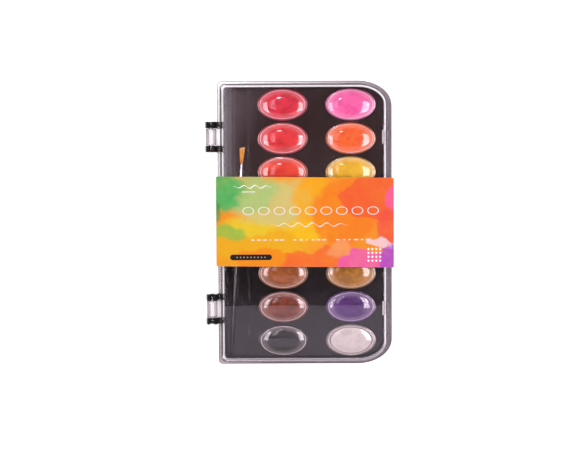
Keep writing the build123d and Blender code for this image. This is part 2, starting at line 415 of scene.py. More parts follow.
def addBump(tree, shader, height, bump, normal=None):
    strength, distance = bump
    inputs = {"Height": height, "Strength": strength, "Distance": distance}
    if normal:
        inputs["Normal"] = normal
    connect(tree, shader.inputs, {"Normal": place(tree, "Bump", None, inputs).outputs["Normal"]})


blackPlasticLook = {"dark": tint(8, 6, 7), "light": tint(24, 19, 21), "rubbed": tint(96, 90, 92),
                    "roughness": 0.14, "gloss": 0.5, "grain": 1.0, "scratches": 0.5, "wear": 0.5,
                    "wearScale": 420.0, "bump": (0.5, 0.03 * mm)}
deckPlasticLook = {"dark": tint(8, 6, 7), "light": tint(28, 19, 21), "rubbed": tint(80, 66, 70),
                   "roughness": 0.10, "gloss": 1.0, "grain": 0.6, "scratches": 0.3, "wear": 0.3,
                   "wearScale": 420.0, "bump": (0.5, 0.03 * mm)}


def plasticMaterial(name, look):
    material, tree, shader = newMaterial(name, {"Specular IOR Level": look["gloss"]})
    skin = useGroup(tree, mouldedSkin, {"Scale": look["grain"], "Scratch Amount": look["scratches"]})
    worn = useGroup(tree, edgeWear, {"Amount": look["wear"], "Scale": look["wearScale"]})
    body = blendColours(tree, remap(tree, skin["Tone"], *toneBand), look["dark"], look["light"])
    rough = plus(tree, skin["Roughness Shift"], look["roughness"])
    connect(tree, shader.inputs, {
        "Base Color": blendColours(tree, worn["Mask"], body, look["rubbed"]),
        "Roughness": plus(tree, rough, times(tree, worn["Mask"], 0.2), True)})
    addBump(tree, shader, skin["Height"], look["bump"], worn["Normal"])
    return material


# The bands are in millimetres. A band goes from where one look ends to where the next begins
clearPlasticLook = {"colour": (0.80, 0.76, 0.79, 1.0), "roughness": (0.0, 0.04), "ior": 1.38,
                    "shadowTint": (0.95, 0.94, 0.95, 1.0), "scratches": 0.6, "bump": (0.3, 0.02 * mm),
                    # Painted shade: the lid's rounded and sloped edges are painted this dark colour, more
                    # on the low edges than at the roof
                    "edgeShadeColour": tint(52, 40, 46), "lowEdges": 0.95, "roofEdges": 0.5,
                    "edgeBand": (9.5, 13.0),
                    # Painted light and shade on the flange: lighter towards the left and top, darker
                    # towards the right and bottom
                    "flangePaintedLight": (0.80, 0.75, 0.77, 1.0), "flangePaintedShade": (0.16, 0.12, 0.15, 1.0),
                    "flangeBand": (7.9, 9.2), "slant": 0.5, "slantBand": (-110.0, 30.0),
                    "knuckleColour": (0.60, 0.56, 0.58, 1.0), "knuckleBand": (-60.5, -61.2)}


def clearMaterial(look):
    material, tree, shader = newMaterial("clearPlastic", {
        "Base Color": look["colour"], "IOR": look["ior"], "Transmission Weight": 1.0, "Metallic": 0.0})
    skin = useGroup(tree, mouldedSkin, {"Scratch Amount": look["scratches"]})
    rough = remap(tree, skin["Roughness Shift"], 0.02, 0.2, *look["roughness"])
    addBump(tree, shader, skin["Height"], look["bump"])
    spot = splitVector(tree, objectSpot(tree))
    # Painted shade on the rounded edges: dark where a face is neither flat nor upright, fading from the low
    # edges up to the roof
    facing = splitVector(tree, place(tree, "TexCoord").outputs["Normal"])["Z"]
    upright = maths(tree, "ABSOLUTE", facing)
    turn = times(tree, remap(tree, upright, 0.06, 0.2), remap(tree, upright, 0.98, 0.88))
    low, high = metres(look["edgeBand"])
    paintedEdgeShade = times(tree, turn, remap(tree, spot["Z"], low, high, look["lowEdges"], look["roofEdges"]))
    # Painted light and shade: the flange below the seat goes from light at the left and top to dark at the
    # right and bottom
    slant = minus(tree, spot["X"], times(tree, spot["Y"], look["slant"]))
    flange = blendColours(tree, remap(tree, slant, *metres(look["slantBand"])),
                          look["flangePaintedLight"], look["flangePaintedShade"])
    above = blendColours(tree, remap(tree, spot["Z"], *metres(look["flangeBand"])), flange, look["colour"])
    plain = blendColours(tree, remap(tree, spot["X"], *metres(look["knuckleBand"])), above,
                         look["knuckleColour"])
    connect(tree, shader.inputs, {
        "Base Color": blendColours(tree, paintedEdgeShade, plain, look["edgeShadeColour"]), "Roughness": rough})
    through = place(tree, "BsdfTransparent", None, {"Color": look["shadowTint"]})
    lamp = place(tree, "LightPath").outputs["Is Shadow Ray"]
    either = place(tree, "MixShader", None, {0: lamp, 1: shader.outputs[0], 2: through.outputs[0]})
    connect(tree, tree.nodes["Material Output"].inputs, {"Surface": either.outputs[0]})
    return material


# The clips' bent ends scatter light and look milky
frostedLook = {"colour": tint(226, 214, 222), "roughness": 0.35, "clear": 0.35, "ior": 1.49, "grain": 4.0,
               "scratches": 0.4, "bump": (0.3, 0.03 * mm)}


def frostedMaterial(look):
    material, tree, shader = newMaterial("frostedPlastic", {
        "Base Color": look["colour"], "Roughness": look["roughness"], "Transmission Weight": look["clear"],
        "IOR": look["ior"]})
    skin = useGroup(tree, mouldedSkin, {"Scale": look["grain"], "Scratch Amount": look["scratches"]})
    addBump(tree, shader, skin["Height"], look["bump"])
    return material


panShape = {"length": 37.6, "width": 23.6, "steps": 112, "deck": 8.2}
panStretch = panShape["length"] / panShape["width"]

paintSets = {
    "left_1": {"colour": tint(197, 7, 44), "deep": tint(156, 2, 30), "pan": tint(206, 74, 104)},
    "left_2": {"colour": tint(203, 25, 32), "deep": tint(169, 5, 16), "pan": tint(206, 76, 84)},
    "left_3": {"colour": tint(210, 46, 7), "deep": tint(192, 18, 4), "pan": tint(204, 92, 66)},
    "left_4": {"colour": tint(37, 132, 53), "deep": tint(13, 92, 35), "pan": tint(96, 158, 96)},
    "left_5": {"colour": tint(22, 81, 155), "deep": tint(9, 46, 113), "pan": tint(88, 124, 172)},
    "left_6": {"colour": tint(145, 74, 12), "deep": tint(104, 49, 5), "pan": tint(158, 108, 62)},
    "left_7": {"colour": tint(112, 44, 18), "deep": tint(78, 26, 9), "pan": tint(132, 80, 62)},
    "left_8": {"colour": tint(22, 14, 16), "deep": tint(7, 4, 5), "pan": tint(62, 52, 56)},
    "right_1": {"colour": tint(221, 84, 148), "deep": tint(206, 55, 128), "pan": tint(232, 136, 184)},
    "right_2": {"colour": tint(219, 88, 0), "deep": tint(206, 63, 0), "pan": tint(206, 116, 58)},
    "right_3": {"colour": tint(214, 168, 0), "deep": tint(194, 146, 0), "pan": tint(206, 174, 58)},
    "right_4": {"colour": tint(15, 99, 62), "deep": tint(4, 58, 35), "pan": tint(74, 128, 100)},
    "right_5": {"colour": tint(37, 128, 181), "deep": tint(11, 86, 143), "pan": tint(96, 156, 190)},
    "right_6": {"colour": tint(160, 104, 14), "deep": tint(126, 77, 4), "pan": tint(174, 136, 72)},
    "right_7": {"colour": tint(76, 33, 102), "deep": tint(50, 16, 76), "pan": tint(110, 80, 140)},
    "right_8": {"colour": tint(190, 180, 176), "deep": tint(175, 166, 161), "pan": tint(150, 138, 136)},
}
paintLook = {"swirlScale": 150.0, "seedStep": 1.37, "roughness": (0.30, 0.46), "coat": 1.0,
             "coatRoughness": 0.03, "coatIor": 1.75, "gloss": 0.15, "bump": (0.5, 0.2 * mm),
             "deepShare": 0.7, "paleEdge": (6.8, 10.0), "paleAmount": 0.24, "paleShare": 0.45,
             "paleTint": (1.0, 0.93, 0.88, 1.0), "wander": 2.4, "specks": 0.12}


def ovalRadius(tree, middle):
    # How far a point is from the middle of a pan in millimetres, with the oval drawn in to a circle
    away = vectorMaths(tree, "SUBTRACT", objectSpot(tree), tuple(middle))
    return vectorMaths(tree, "LENGTH",
                       vectorMaths(tree, "MULTIPLY", away, (1 / mm / panStretch, 1 / mm, 0.0)))


def paintMaterial(name, colours, seed, middle):
    look = paintLook
    material, tree, shader = newMaterial("paint_" + name, {
        "Coat Weight": look["coat"], "Coat Roughness": look["coatRoughness"], "Coat IOR": look["coatIor"],
        "Specular IOR Level": look["gloss"]})
    swirl = useGroup(tree, paintSwirl, {"Seed": seed, "Scale": look["swirlScale"]})
    wander = times(tree, minus(tree, swirl["Fine"], 0.5), look["wander"])
    near, far = look["paleEdge"]
    pale = remap(tree, plus(tree, ovalRadius(tree, middle), wander), near, far, 0.0, look["paleAmount"],
                 smooth=True)
    deeper = times(tree, swirl["Mask"], look["deepShare"])
    body = blendColours(tree, deeper, colours["colour"], colours["deep"])
    milky = blendColours(tree, look["paleShare"], colours["colour"], look["paleTint"])
    skin = blendColours(tree, pale, body, milky)
    speck = remap(tree, swirl["Fine"], 0.35, 0.7, 0.0, look["specks"])
    connect(tree, shader.inputs, {
        "Base Color": blendColours(tree, speck, skin, (1, 1, 1, 1), "SOFT_LIGHT"),
        "Roughness": remap(tree, swirl["Fine"], *toneBand, *look["roughness"])})
    addBump(tree, shader, swirl["Height"], look["bump"])
    return material


# Painted highlight: a pale line is painted round each pan on its bead, between these radii
panLook = {"beadGlint": (10.47, 10.66), "beadGlintColour": tint(244, 228, 234), "beadGlintStrength": 0.85, "blur": 0.06,
           "lipBlur": 0.12, "flangeShade": 0.5, "flangeColour": (0.01, 0.01, 0.01, 1.0), "roughness": 0.16,
           "coat": 0.6, "coatRoughness": 0.04, "grain": 2.0, "scratches": 0.2, "bump": (0.3, 0.03 * mm)}


def panMaterial(name, colours, middle):
    look = panLook
    material, tree, shader = newMaterial("pan_" + name, {
        "Coat Weight": look["coat"], "Coat Roughness": look["coatRoughness"]})
    skin = useGroup(tree, mouldedSkin, {"Scale": look["grain"], "Scratch Amount": look["scratches"]})
    radius = ovalRadius(tree, middle)
    inner, outer = look["beadGlint"]
    # Painted highlight: the thin pale line along the bead of the pan
    beadGlint = times(tree, remap(tree, radius, inner - look["blur"], inner),
                 remap(tree, radius, outer + look["blur"], outer))
    lip = blendColours(tree, 0.3, colours["pan"], colours["colour"])
    shade = blendColours(tree, 0.5, colours["pan"], colours["deep"])
    flange = blendColours(tree, look["flangeShade"], shade, look["flangeColour"])
    ringed = blendColours(tree, remap(tree, radius, outer, outer + look["lipBlur"]), lip, flange)
    body = blendColours(tree, remap(tree, skin["Tone"], *toneBand, 0.0, 0.25), ringed, colours["pan"])
    connect(tree, shader.inputs, {
        "Base Color": blendColours(tree, times(tree, beadGlint, look["beadGlintStrength"]), body, look["beadGlintColour"]),
        "Roughness": plus(tree, skin["Roughness Shift"], look["roughness"], True)})
    addBump(tree, shader, skin["Height"], look["bump"])
    return material


lacquerLook = {"dark": tint(16, 12, 13), "light": tint(40, 31, 31), "rubbed": tint(120, 92, 70),
               "roughness": (0.12, 0.22), "coatRoughness": 0.03, "grain": (1500.0, 60.0, 1500.0),
               "wear": 0.5, "wearScale": 500.0, "bump": (0.25, 0.03 * mm)}


def lacquerMaterial(look, lean):
    material, tree, shader = newMaterial("handleLacquer", {
        "Coat Weight": 1.0, "Coat Roughness": look["coatRoughness"]})
    along = stretchedSpot(tree, look["grain"], math.radians(lean))
    grain = noisePattern(tree, along, {"Scale": 1.0, "Detail": 4.0})
    worn = useGroup(tree, edgeWear, {"Amount": look["wear"], "Scale": look["wearScale"]})
    body = blendColours(tree, remap(tree, grain, 0.35, 0.7), look["dark"], look["light"])
    connect(tree, shader.inputs, {
        "Base Color": blendColours(tree, worn["Mask"], body, look["rubbed"]),
        "Roughness": remap(tree, grain, *toneBand, *look["roughness"])})
    addBump(tree, shader, grain, look["bump"])
    return material


ferruleLook = {"bright": tint(236, 232, 234), "dull": tint(176, 172, 178), "roughness": (0.16, 0.30),
               "drawn": (2600.0, 70.0, 2600.0), "grain": 3.0, "scratches": 0.8, "bump": (0.2, 0.02 * mm)}


def ferruleMaterial(look):
    material, tree, shader = newMaterial("ferruleMetal", {"Metallic": 1.0})
    lines = noisePattern(tree, stretchedSpot(tree, look["drawn"]), {"Scale": 1.0, "Detail": 3.0})
    skin = useGroup(tree, mouldedSkin, {"Scale": look["grain"], "Scratch Amount": look["scratches"]})
    shade = times(tree, remap(tree, lines, *toneBand), remap(tree, skin["Tone"], 0.2, 0.8, 0.4, 1.0))
    connect(tree, shader.inputs, {
        "Base Color": blendColours(tree, shade, look["dull"], look["bright"]),
        "Roughness": remap(tree, lines, *toneBand, *look["roughness"])})
    addBump(tree, shader, lines, look["bump"])
    return material


hairLook = {"root": tint(196, 104, 10), "middle": tint(232, 156, 16), "tip": tint(248, 206, 120),
            "streak": tint(140, 74, 20), "rootShare": 0.35, "tipShare": 0.72, "sheen": 0.25, "gloss": 0.35,
            "strands": (5200.0, 90.0, 5200.0), "roughness": (0.42, 0.6), "bump": (0.2, 0.02 * mm)}


def hairMaterial(look, rootY, tipY):
    material, tree, shader = newMaterial("bristleHair", {
        "Sheen Weight": look["sheen"], "Specular IOR Level": look["gloss"]})
    along = splitVector(tree, objectSpot(tree))["Y"]
    streak = noisePattern(tree, stretchedSpot(tree, look["strands"]), {"Scale": 1.0, "Detail": 2.0})
    lower = remap(tree, along, rootY, rootY + look["rootShare"] * (tipY - rootY))
    upper = remap(tree, along, rootY + look["tipShare"] * (tipY - rootY), tipY)
    body = blendColours(tree, lower, look["root"], look["middle"])
    pale = blendColours(tree, upper, body, look["tip"])
    connect(tree, shader.inputs, {
        "Base Color": blendColours(tree, remap(tree, streak, 0.35, 0.75, 0.0, 0.5), pale, look["streak"]),
        "Roughness": remap(tree, streak, *toneBand, *look["roughness"])})
    addBump(tree, shader, streak, look["bump"])
    return material


# The card sleeve's print, in millimetres from the middle of the band
washes = [
    # Colour, middle x, middle y, reach x, reach y, softness and strength
    (tint(236, 172, 10), -34, -14, 50, 26, 0.6, 0.95),
    (tint(232, 200, 40), -40, -2, 24, 10, 0.7, 0.9),
    (tint(206, 196, 118), -22, 14, 36, 20, 0.55, 0.95),
    (tint(160, 196, 116), -42, 24, 30, 18, 0.6, 0.9),
    (tint(44, 172, 84), -66, 24, 24, 19, 0.5, 0.97),
    (tint(6, 148, 66), -70, 10, 13, 11, 0.4, 0.9),
    (tint(126, 186, 70), -58, -8, 15, 8, 0.6, 0.85),
    (tint(244, 166, 0), 6, 16, 20, 24, 0.45, 0.95),
    (tint(246, 190, 0), 2, -5, 24, 10, 0.6, 0.9),
    (tint(243, 118, 12), 30, 6, 24, 30, 0.35, 0.9),
    (tint(240, 82, 38), 50, 18, 28, 18, 0.14, 0.9),
    (tint(240, 70, 58), 66, -4, 14, 18, 0.4, 0.85),
    (tint(244, 128, 6), -26, -30, 30, 10, 0.35, 0.9),
    (tint(243, 92, 40), 10, -30, 26, 10, 0.3, 0.85),
    (tint(244, 152, 96), 24, -22, 12, 8, 0.5, 0.8),
    (tint(244, 88, 150), 68, 16, 10, 10, 0.2, 0.95),
    (tint(236, 84, 164), 46, -30, 22, 11, 0.25, 0.95),
    (tint(246, 214, 222), 58, -15, 14, 4.5, 0.3, 0.8),
    (tint(160, 62, 196), 68, -28, 14, 13, 0.3, 0.95),
]
whiteInk = (0.93, 0.92, 0.90, 1.0)
blackInk = tint(22, 14, 14)
printMarks = {
    "rings": {"count": 9, "step": 11.6, "x": 4.2, "y": 8.4, "half": (4.3, 3.0), "line": 0.42},
    "wave": {"x": 3.0, "y": -2.0, "half": 29.0, "swing": 1.5, "turns": 5.5, "line": 0.42},
    "topWave": {"x": -39.0, "y": 26.4, "half": 14.5, "swing": 1.1, "turns": 3.5, "line": 0.55},
    "topRule": (-42.0, 22.6, 5.0, 0.3),
    "dashes": {"count": 6, "step": 4.4, "starts": (-39.0, -7.5, 24.5), "y": -13.2, "half": (0.5, 1.7),
               "tall": 0.38, "shift": 0.3, "seed": 5},
    "pill": (-40.3, -26.1, 15.6, 2.1),
    "pillDots": {"count": 9, "step": 2.6, "radius": 0.5, "ink": tint(196, 150, 130)},
    "dots": {"columns": 4, "rows": 4, "step": 2.9, "x": 51.5, "y": -24.6, "radius": 0.82},
}
cardLook = {"base": tint(240, 140, 24), "baseWash": tint(244, 164, 40), "baseX": -10.0, "baseReach": 50.0,
            "baseStrength": 0.6, "board": tint(240, 234, 226), "gloss": 0.12, "seedStep": 3.7,
            "backSeed": 50.0, "fibres": 0.18, "wear": 0.6, "wearScale": 260.0, "roughness": (0.36, 0.5),
            "bump": (0.18, 0.03 * mm)}


def bandPoint(middle, x, y):
    return (middle.x + x * mm, middle.y + y * mm, 0.0)


def cardMaterial(name, middle, printed):
    material, tree, shader = newMaterial(name, {"Specular IOR Level": cardLook["gloss"]})
    grain = useGroup(tree, paperGrain, {"Scale": 1.0})
    reach = cardLook["baseReach"] * mm
    colour = useGroup(tree, washBloom, {
        "Under": cardLook["base"], "Wash": cardLook["baseWash"], "Strength": cardLook["baseStrength"],
        "Centre": bandPoint(middle, cardLook["baseX"], 0.0), "Reach": (reach, reach, 1.0)})["Color"]
    for order, (wash, x, y, reachX, reachY, softness, strength) in enumerate(washes):
        colour = useGroup(tree, washBloom, {
            "Under": colour, "Wash": wash, "Centre": bandPoint(middle, x, y),
            "Reach": (reachX * mm, reachY * mm, 1.0), "Softness": softness, "Strength": strength,
            "Seed": cardLook["seedStep"] * order + (0.0 if printed else cardLook["backSeed"])})["Color"]
    if printed:
        colour = addPrint(tree, colour, middle)
    fibres = remap(tree, grain["Tone"], 0.35, 0.65, 0.0, cardLook["fibres"])
    colour = blendColours(tree, fibres, colour, (1, 1, 1, 1), "SOFT_LIGHT")
    along = splitVector(tree, place(tree, "NewGeometry").outputs["Normal"])["Y"]
    cut = remap(tree, maths(tree, "ABSOLUTE", along), 0.7, 0.85)
    inward = splitVector(tree, place(tree, "TexCoord").outputs["Normal"])["Z"]
    inside = remap(tree, times(tree, inward, -1.0 if printed else 1.0), 0.3, 0.6)
    worn = useGroup(tree, edgeWear, {"Amount": cardLook["wear"], "Scale": cardLook["wearScale"]})
    pale = maths(tree, "MAXIMUM", maths(tree, "MAXIMUM", cut, inside), worn["Mask"])
    connect(tree, shader.inputs, {
        "Base Color": blendColours(tree, pale, colour, cardLook["board"]),
        "Roughness": remap(tree, grain["Tone"], *toneBand, *cardLook["roughness"])})
    addBump(tree, shader, grain["Height"], cardLook["bump"])
    return material


def addBar(tree, under, middle, ink, x, y, halfX, halfY):
    return useGroup(tree, printedBar, {
        "Under": under, "Ink": ink, "Centre": bandPoint(middle, x, y),
        "Half Size": (halfX * mm, halfY * mm, 0.0), "Corner": min(halfX, halfY) * mm * 0.999})["Color"]


def addWave(tree, under, middle, wave):
    return useGroup(tree, printedWave, {
        "Under": under, "Ink": whiteInk, "Centre": bandPoint(middle, wave["x"], wave["y"]),
        "Half Length": wave["half"] * mm, "Swing": wave["swing"] * mm, "Turns": wave["turns"],
        "Line": wave["line"] * mm})["Color"]


def addPrint(tree, colour, middle):
    rings = printMarks["rings"]
    halfX, halfY = rings["half"]
    for offset in spread(rings["count"], rings["step"]):
        colour = useGroup(tree, printedRing, {
            "Under": colour, "Ink": whiteInk, "Centre": bandPoint(middle, rings["x"] + offset, rings["y"]),
            "Half Size": (halfX * mm, halfY * mm, 1.0), "Line": rings["line"] / halfY})["Color"]
    for wave in ("wave", "topWave"):
        colour = addWave(tree, colour, middle, printMarks[wave])
    colour = addBar(tree, colour, middle, whiteInk, *printMarks["topRule"])
    dashes = printMarks["dashes"]
    chance = random.Random(dashes["seed"])
    for start in dashes["starts"]:
        for i in range(dashes["count"]):
            half = chance.uniform(*dashes["half"])
            x = start + i * dashes["step"] + chance.uniform(-dashes["shift"], dashes["shift"])
            colour = addBar(tree, colour, middle, whiteInk, x, dashes["y"], half, dashes["tall"])
    colour = addBar(tree, colour, middle, blackInk, *printMarks["pill"])
    small = printMarks["pillDots"]
    for offset in spread(small["count"], small["step"]):
        x, y = printMarks["pill"][0] + offset, printMarks["pill"][1]
        colour = addBar(tree, colour, middle, small["ink"], x, y, small["radius"], small["radius"])
    dots = printMarks["dots"]
    for across in spread(dots["columns"], dots["step"]):
        for down in spread(dots["rows"], dots["step"]):
            x, y = dots["x"] + across, dots["y"] + down
            colour = addBar(tree, colour, middle, whiteInk, x, y, dots["radius"], dots["radius"])
    return colour


# Case: tray, deck and trough keep their shapes, and the lid gets its rounded edges

caseShape = {"width": 130.8, "length": 213.0, "frontCornerX": 25.9, "frontCornerY": 18.5,
             "hingeCorner": 3.0, "flangeHinge": 2.5, "flangeFront": 3.9, "flangeEnd": 2.7,
             "cornerSteps": 28, "hingeSteps": 8}
lidShape = {"flangeBottom": 6.2, "flangeTop": 7.7, "seat": 10.7, "roofUnder": 15.5, "roof": 17.0,
            "wall": 1.2, "step": 1.0, "roofRound": 2.0, "innerRound": 0.8, "edgeRound": 0.35,
            "topRound": 1.0, "footRound": 1.1, "flatInset": 1.5, "seatChamfer": (0.2, 0.25),
            "lipChamfer": (0.25, 0.3)}
hingeShape = {"x": -70.0, "z": 9.0, "y": 64.6, "knuckle": 4.0, "pin": 1.9, "knuckleHalf": 6.15,
              "pinHalf": 11.05, "bevel": 0.35, "armTop": 9.6, "armEnd": -61.7, "armInset": 0.02,
              "armBevel": 0.25, "pocketX": 1.9, "pocketY": 4.2, "pocketDepth": 0.5, "pocketBevel": 0.12}
clipShape = {"y": 64.2, "half": 5.1, "inner": 58.05, "outer": 60.4, "bottom": 8.55, "top": 12.7,
             "bevel": 0.3, "faceProud": 0.12, "faceDepth": 0.9, "faceLow": 0.5, "faceHigh": 0.2,
             "faceBevel": 0.15}
middleX = centreOf("sleeve_front").x


def outlineRing(share, step, height):
    # The case's outline, drawn in by this share of the flange and by the step
    insetHinge = caseShape["flangeHinge"] * share + step
    insetFront = caseShape["flangeFront"] * share + step
    insetEnd = caseShape["flangeEnd"] * share + step
    left = insetHinge - caseShape["width"] / 2
    right = caseShape["width"] / 2 - insetFront
    end = caseShape["length"] / 2 - insetEnd
    cornerX = caseShape["frontCornerX"] - insetFront
    cornerY = caseShape["frontCornerY"] - insetEnd
    small = caseShape["hingeCorner"]
    wide, narrow = caseShape["cornerSteps"], caseShape["hingeSteps"]
    points = []
    for centreX, centreY, radiusX, radiusY, start, steps in (
            (right - cornerX, cornerY - end, cornerX, cornerY, -90, wide),
            (right - cornerX, end - cornerY, cornerX, cornerY, 0, wide),
            (left + small, end - small, small, small, 90, narrow),
            (left + small, small - end, small, small, 180, narrow)):
        for i in range(steps + 1):
            angle = math.radians(start + 90 * i / steps)
            points.append(Vector((middleX + (centreX + radiusX * math.cos(angle)) * mm,
                                  (centreY + radiusY * math.sin(angle)) * mm, height * mm)))
    return points


def lidRings():
    wall, inner = lidShape["wall"], lidShape["wall"] + lidShape["step"]
    roof, under, seat = lidShape["roof"], lidShape["roofUnder"], lidShape["seat"]
    bottom, top = lidShape["flangeBottom"], lidShape["flangeTop"]
    soft, edge, foot = lidShape["innerRound"], lidShape["edgeRound"], lidShape["footRound"]
    upper, roofRound, flat = lidShape["topRound"], lidShape["roofRound"], lidShape["flatInset"]
    seatX, seatZ = lidShape["seatChamfer"]
    lipX, lipZ = lidShape["lipChamfer"]
    rings = [(1, inner + soft + flat, under)]
    rings += [(1, s, z) for s, z in arcSteps((inner + soft, under - soft), soft, 90, 180, 6)]
    rings += [(1, inner, seat + seatZ), (1, inner - seatX, seat), (1, wall, seat), (1, wall, bottom + lipZ)]
    rings += [(1, wall - lipX, bottom), (0, edge, bottom)]
    rings += [(0, s, z) for s, z in arcSteps((edge, bottom + edge), edge, 270, 180, 4)[1:]]
    rings += [(0, s, z) for s, z in arcSteps((upper, top - upper), upper, 180, 90, 8)]
    rings += [(1, s, z) for s, z in arcSteps((-foot, top + foot), foot, 270, 360, 5)]
    rings += [(1, s, z) for s, z in arcSteps((roofRound, roof - roofRound), roofRound, 180, 90, 8)]
    rings += [(1, roofRound + flat, roof)]
    return [outlineRing(*ring) for ring in rings]


def turnedBar(profile, axisX, axisZ, steps=40):
    # The profile goes along Y: (y, radius)
    angles = [math.tau * i / steps for i in range(steps)]
    rings = []
    for y, radius in profile:
        rings.append([Vector((middleX + (axisX + radius * math.cos(angle)) * mm, y * mm,
                              (axisZ + radius * math.sin(angle)) * mm)) for angle in angles])
    return meshFrom(*bridgeRings(rings))


def softBlock(low, high, bevel):
    work = bmesh.new()
    bmesh.ops.create_cube(work, size=1.0)
    for vert in work.verts:
        for axis in range(3):
            vert.co[axis] = ((low[axis] + high[axis]) / 2 + vert.co[axis] * (high[axis] - low[axis])) * mm
        vert.co.x += middleX
    bmesh.ops.bevel(work, geom=work.edges[:], offset=bevel * mm, segments=2, affect="EDGES")
    mesh = bpy.data.meshes.new("softBlock")
    work.to_mesh(mesh)
    work.free()
    return mesh


def joinSolids(base, additions, operation="UNION"):
    for mesh in additions:
        helper = addObject("helper", mesh)
        change = base.modifiers.new("join", "BOOLEAN")
        change.object = helper
        change.operation = operation
        change.solver = "EXACT"
        ready = base.evaluated_get(bpy.context.evaluated_depsgraph_get())
        joined = bpy.data.meshes.new_from_object(ready)
        base.modifiers.clear()
        base.data = joined
        bpy.data.objects.remove(helper)


def hingeParts(y):
    # The arm and the knuckle with its pin stubs
    x, z, bevel, inset = hingeShape["x"], hingeShape["z"], hingeShape["bevel"], hingeShape["armInset"]
    knuckle, pin = hingeShape["knuckle"], hingeShape["pin"]
    half, reach = hingeShape["knuckleHalf"], hingeShape["pinHalf"]
    arm = softBlock((x, y - half + inset, lidShape["flangeBottom"]),
                    (hingeShape["armEnd"], y + half - inset, hingeShape["armTop"]), hingeShape["armBevel"])
    stub = [(reach, pin - bevel), (reach - bevel, pin), (half, pin), (half, knuckle - bevel),
            (half - bevel, knuckle)]
    profile = [(y - along, radius) for along, radius in stub]
    profile += [(y + along, radius) for along, radius in reversed(stub)]
    return [arm, turnedBar(profile, x, z)]


def pocketPart(y):
    # The shallow pocket in the top of a knuckle
    x, top = hingeShape["x"], hingeShape["z"] + hingeShape["knuckle"]
    reachX, reachY = hingeShape["pocketX"], hingeShape["pocketY"]
    return softBlock((x - reachX, y - reachY, top - hingeShape["pocketDepth"]),
                     (x + reachX, y + reachY, top + 1.0), hingeShape["pocketBevel"])


def makeLid(material, frosted):
    base = addObject("lidBase", meshFrom(*bridgeRings(lidRings())))
    half, inner = clipShape["half"], clipShape["inner"]
    bottom, top = clipShape["bottom"], clipShape["top"]
    additions, pockets, faces = [], [], []
    for side in (-1, 1):
        hingeY, clipY = side * hingeShape["y"], side * clipShape["y"]
        additions += hingeParts(hingeY)
        additions.append(softBlock((inner, clipY - half, bottom), (clipShape["outer"], clipY + half, top),
                                   clipShape["bevel"]))
        pockets.append(pocketPart(hingeY))
        faces.append(softBlock(
            (inner - clipShape["faceProud"], clipY - half, bottom + clipShape["faceLow"]),
            (inner + clipShape["faceDepth"], clipY + half, top + clipShape["faceHigh"]),
            clipShape["faceBevel"]))
    joinSolids(base, additions)
    joinSolids(base, pockets, "DIFFERENCE")
    faceOutward(base.data)
    lid = dress("clear_lid", base.data, material, "cover", ("lid",), 32)
    bpy.data.objects.remove(base)
    for end, face in zip(("low", "high"), faces):
        dress("clip_face_" + end, face, frosted, "cover")
    smooth = lid.modifiers.new("flatFaces", "WEIGHTED_NORMAL")
    smooth.keep_sharp = True


blackPlastic = plasticMaterial("blackPlastic", blackPlasticLook)
deckPlastic = plasticMaterial("deckPlastic", deckPlasticLook)
setMaterial(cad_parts["tray"].data, blackPlastic)
for nodeName in ("well_deck", "brush_trough"):
    setMaterial(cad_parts[nodeName].data, deckPlastic)
makeLid(clearMaterial(clearPlasticLook), frostedMaterial(frostedLook))
print("case dressed")


# Pans and paints

panProfile = [(8.8, -5.2), (9.35, -5.05), (9.6, -4.7), (10.4, -0.35), (10.55, 0.0), (11.5, 0.0),
              (11.72, 0.08), (11.8, 0.25), (11.8, 0.4), (11.74, 0.52), (11.6, 0.58), (10.95, 0.56),
              (10.8, 0.6), (10.7, 0.74), (10.62, 0.86), (10.54, 0.9), (10.44, 0.88), (10.36, 0.78),
              (10.2, 0.76), (10.06, 0.7), (9.99, 0.4), (9.25, -4.1), (9.0, -4.4)]
paintShape = {"edge": 10.38, "level": 0.72, "crown": 1.36, "rings": 26, "middleShare": 0.004,
              "roundShare": 0.45, "shoulderPower": 4.5, "ripple": 0.012, "rippleX": 160, "rippleY": 220,
              "rippleStep": 3.1, "base": ((9.0, -4.35), (9.2, -4.1)), "skirtShare": 0.955,
              "skirtLevel": 0.3}
flatPaints = {"right_8": 0.6}      # this paint is drier, flatter and has shrunk from the wall of its pan
smallPaints = {"right_8": 0.93}


def ovalRing(middle, radius, height):
    steps = panShape["steps"]
    return [Vector((middle.x + radius * panStretch * math.cos(math.tau * i / steps) * mm,
                    middle.y + radius * math.sin(math.tau * i / steps) * mm,
                    (panShape["deck"] + height) * mm)) for i in range(steps)]


def makePan(name, middle, material):
    rings = [ovalRing(middle, radius, height) for radius, height in panProfile]
    mesh = meshFrom(*bridgeRings(rings))
    pan = dress("pan_cup_" + name, mesh, material, "base", ("pan_" + name,), 50)


def makePaint(name, middle, material, seed):
    crown = paintShape["crown"] * flatPaints.get(name, 1.0)
    edge = paintShape["edge"] * smallPaints.get(name, 1.0)
    rounded = paintShape["roundShare"]
    rings = [ovalRing(middle, radius, height) for radius, height in paintShape["base"]]
    rings.append(ovalRing(middle, edge * paintShape["skirtShare"], paintShape["skirtLevel"]))
    for i in range(paintShape["rings"] + 1):
        share = math.sin(math.pi / 2 * (1 - i / paintShape["rings"]))
        share = max(share, paintShape["middleShare"])
        rise = crown * (1 - rounded * share ** 2 - (1 - rounded) * share ** paintShape["shoulderPower"])
        ring = ovalRing(middle, edge * share, paintShape["level"] + rise)
        for point in ring:
            wave = noise.noise(Vector((point.x * paintShape["rippleX"], point.y * paintShape["rippleY"],
                                       seed * paintShape["rippleStep"])))
            point.z += wave * paintShape["ripple"] * mm * min(1.0, rise / crown)
        rings.append(ring)
    mesh = meshFrom(*bridgeRings(rings))
    paint = dress("moist_paint_" + name, mesh, material, "base", ("paint_" + name,), 60)


